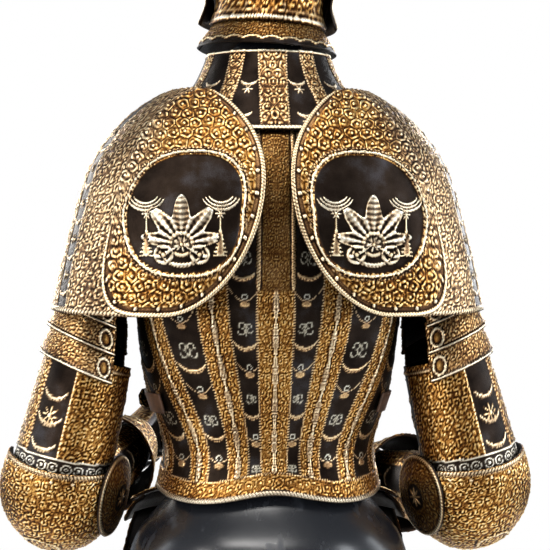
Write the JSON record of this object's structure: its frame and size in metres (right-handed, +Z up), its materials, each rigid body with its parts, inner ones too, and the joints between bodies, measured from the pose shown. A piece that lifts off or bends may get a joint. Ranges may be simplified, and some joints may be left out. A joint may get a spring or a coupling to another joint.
{
  "type": "half suit of plate armour on a limbless dress form",
  "caption": "Embossed and partly gilt half suit of plate armour on a plain black dress form, with a close helmet whose visor lifts.",
  "frame": {"origin": "centre of the dress form's flat underside", "axes": "+Z up, -Y the way the wearer faces, +X the wearer's left"},
  "size_m": [0.6704, 0.558, 1.2479],
  "materials": {
    "gilt_steel": "embossed steel, gilt bands on a blackened ground",
    "dark_steel": "blackened steel with gilt strips",
    "bright_steel": "bright filed steel",
    "strap_leather": "waxed dark brown leather",
    "form_lacquer": "smooth gloss black lacquer"
  },
  "bodies": {
    "suit": {"form": "form_lacquer", "backplate": "gilt_steel", "breastplate": "gilt_steel", "side_strap_left": "strap_leather", "side_strap_right": "strap_leather", "gorget_back": "dark_steel", "gorget_front": "dark_steel", "fauld_1": "gilt_steel", "fauld_2": "gilt_steel", "tasset_left_1": "gilt_steel", "tasset_left_2": "gilt_steel", "tasset_left_3": "gilt_steel", "tasset_left_4": "gilt_steel", "tasset_right_1": "gilt_steel", "tasset_right_2": "gilt_steel", "tasset_right_3": "gilt_steel", "tasset_right_4": "gilt_steel", "helmet_skull": "gilt_steel", "helmet_bevor": "gilt_steel", "neck_lame_back": "dark_steel", "neck_lame_front": "dark_steel", "visor_pin_left": "bright_steel", "visor_pin_right": "bright_steel", "wing_back_left": "gilt_steel", "wing_front_left": "gilt_steel", "pauldron_cap_left": "gilt_steel", "pauldron_lame_left_1": "gilt_steel", "pauldron_lame_left_2": "gilt_steel", "pauldron_lame_left_3": "gilt_steel", "upper_cannon_left": "gilt_steel", "couter_left": "gilt_steel", "couter_wing_left": "dark_steel", "lower_cannon_left": "gilt_steel", "gauntlet_cuff_left": "gilt_steel", "gauntlet_hand_left": "dark_steel", "gauntlet_fingers_left_1": "dark_steel", "gauntlet_fingers_left_2": "dark_steel", "gauntlet_thumb_left": "dark_steel", "wing_back_right": "gilt_steel", "wing_front_right": "gilt_steel", "pauldron_cap_right": "gilt_steel", "pauldron_lame_right_1": "gilt_steel", "pauldron_lame_right_2": "gilt_steel", "pauldron_lame_right_3": "gilt_steel", "upper_cannon_right": "gilt_steel", "couter_right": "gilt_steel", "couter_wing_right": "dark_steel", "lower_cannon_right": "gilt_steel", "gauntlet_cuff_right": "gilt_steel", "gauntlet_hand_right": "dark_steel", "gauntlet_fingers_right_1": "dark_steel", "gauntlet_fingers_right_2": "dark_steel", "gauntlet_thumb_right": "dark_steel"},
    "visor": {"helmet_visor": "gilt_steel", "visor_rosette_left": "bright_steel", "visor_rosette_right": "bright_steel"}
  },
  "joints": [
    {"name": "visor_lift", "type": "hinge", "parent": "suit", "child": "visor", "pos_m": [-0.008, -0.006, 1.124], "axis": [-0.9889, 0.139, -0.0523], "range_deg": [0, 55]}
  ]
}
